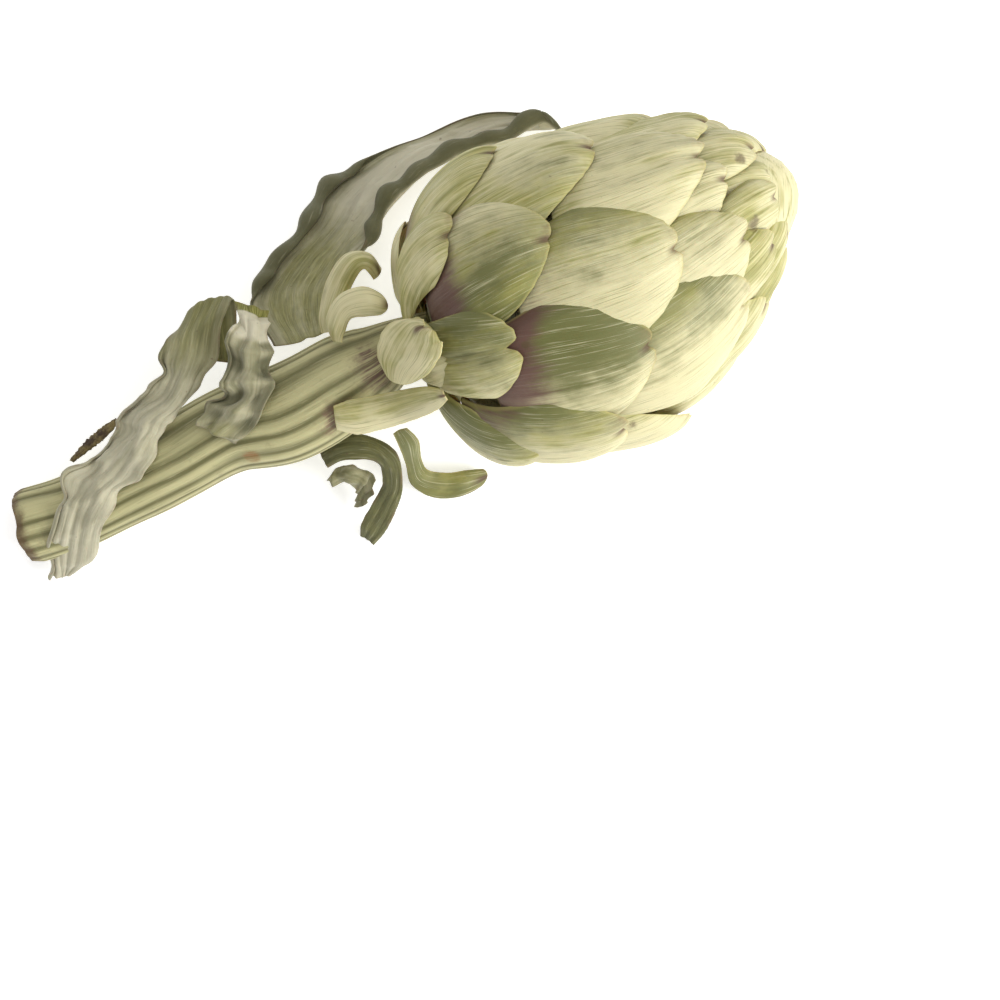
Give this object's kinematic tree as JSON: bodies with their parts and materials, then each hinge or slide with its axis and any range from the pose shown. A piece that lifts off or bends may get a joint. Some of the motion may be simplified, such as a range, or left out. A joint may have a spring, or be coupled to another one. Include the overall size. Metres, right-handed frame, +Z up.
{
  "type": "globe artichoke",
  "caption": "Whole globe artichoke lying on its side: a tapering head of overlapping bracts on a ribbed cut stem, with limp leaves and curled bracts at the neck.",
  "frame": {"origin": "on the surface it lies on, under the middle of its overall length and width", "axes": "+X along its length towards the head's tip end, +Y across it towards the side the big leaf spreads to, +Z up"},
  "size_m": [0.2033, 0.1246, 0.0852],
  "materials": {
    "bract": "smooth, leathery, softly shiny olive green with fine lengthways fibres; leather stands in for fresh plant skin",
    "stem": "ribbed, dull olive green, brown at the cut end; leather stands in for fresh plant skin",
    "leaf": "matt, felted, limp grey green; leather stands in for fresh leaf"
  },
  "bodies": {
    "root": {"big_leaf": "leaf", "bract_01": "bract", "bract_03": "bract", "bract_04": "bract", "bract_05": "bract", "bract_06": "bract", "bract_07": "bract", "bract_08": "bract", "bract_09": "bract", "bract_10": "bract", "bract_11": "bract", "bract_12": "bract", "bract_13": "bract", "bract_14": "bract", "bract_15": "bract", "bract_16": "bract", "bract_17": "bract", "bract_18": "bract", "bract_19": "bract", "bract_20": "bract", "bract_21": "bract", "bract_22": "bract", "bract_23": "bract", "bract_24": "bract", "bract_25": "bract", "bract_26": "bract", "bract_27": "bract", "bract_28": "bract", "bract_29": "bract", "bract_30": "bract", "bract_31": "bract", "bract_32": "bract", "bract_33": "bract", "bract_34": "bract", "bract_35": "bract", "bract_36": "bract", "bract_37": "bract", "bract_38": "bract", "bract_39": "bract", "bract_40": "bract", "bract_41": "bract", "bract_42": "bract", "bract_43": "bract", "collar_bract": "bract", "crumpled_leaf": "leaf", "curled_bract_low": "bract", "curled_bract_tall": "bract", "draped_leaf": "leaf", "dry_bract": "bract", "heart": "bract", "neck_bract": "bract", "spoon_bract": "bract", "stem": "stem", "under_crumple": "leaf", "under_leaf": "leaf"}
  },
  "joints": []
}
